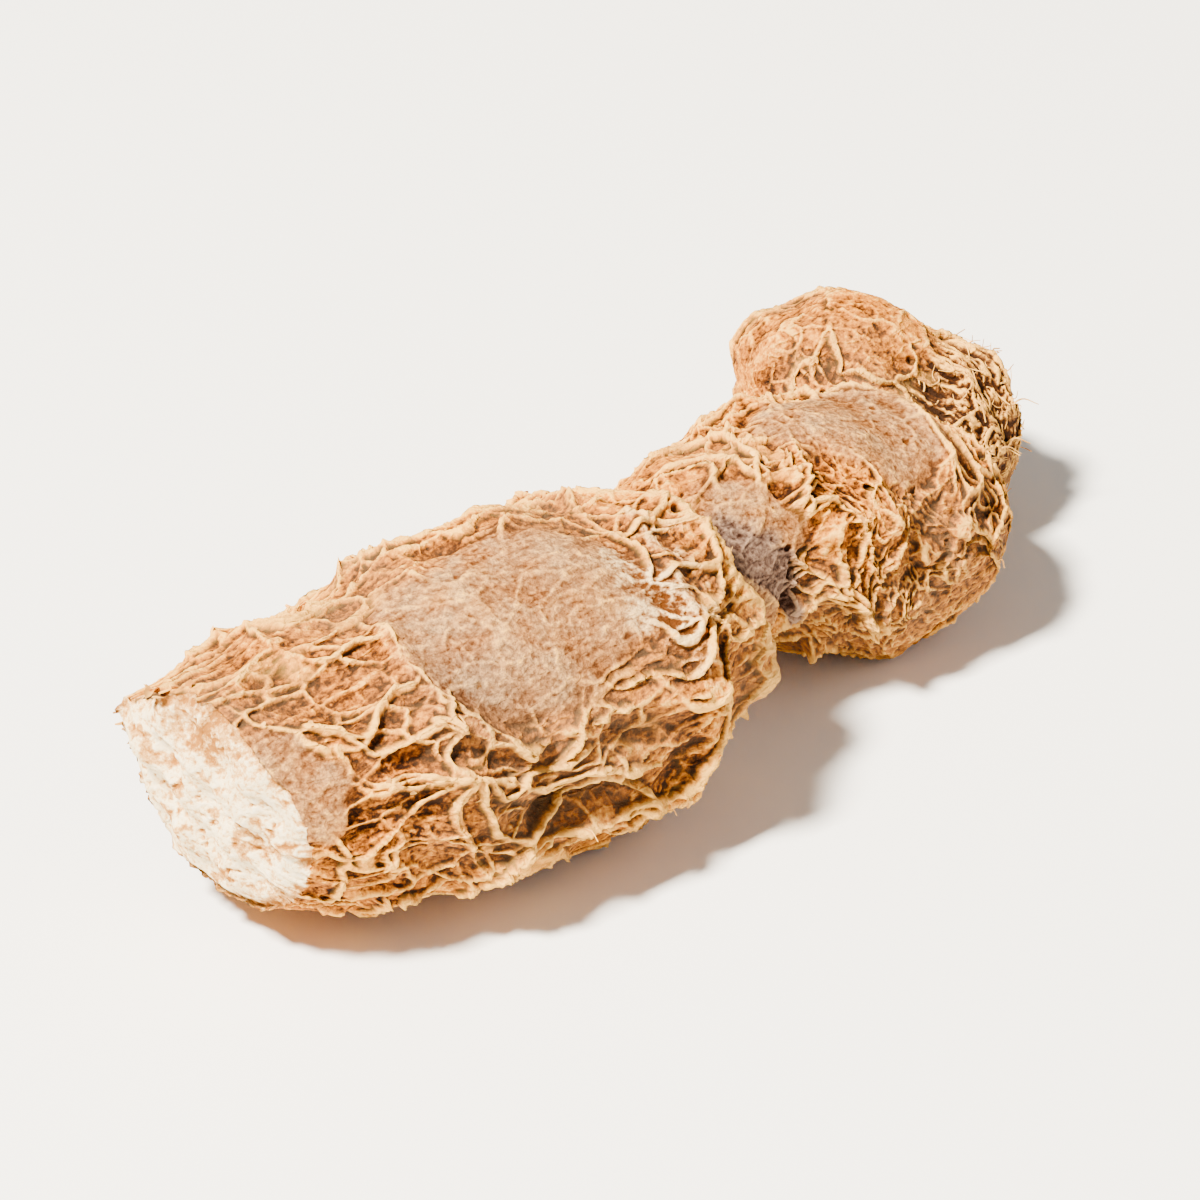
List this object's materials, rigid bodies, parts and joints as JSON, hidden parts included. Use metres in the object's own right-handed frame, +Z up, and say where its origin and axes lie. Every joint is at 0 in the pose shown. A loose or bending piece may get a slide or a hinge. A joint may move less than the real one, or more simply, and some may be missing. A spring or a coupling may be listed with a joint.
{
  "type": "dried ginger root",
  "caption": "Whole dried ginger rhizome with a plump lobe, a ringed neck and knobbly end lobes, broken white at one end, lying on its side.",
  "frame": {"origin": "On the floor, under the middle of the root's box.", "axes": "+X runs along the root from the white broken end to the far lobes, +Y points to the side that the crossing lobe lies on, and +Z points up."},
  "size_m": [0.0587, 0.0321, 0.0167],
  "materials": {
    "dried_skin": "matte, wrinkled"
  },
  "bodies": {
    "root": {"ginger_root": "dried_skin"}
  },
  "joints": []
}
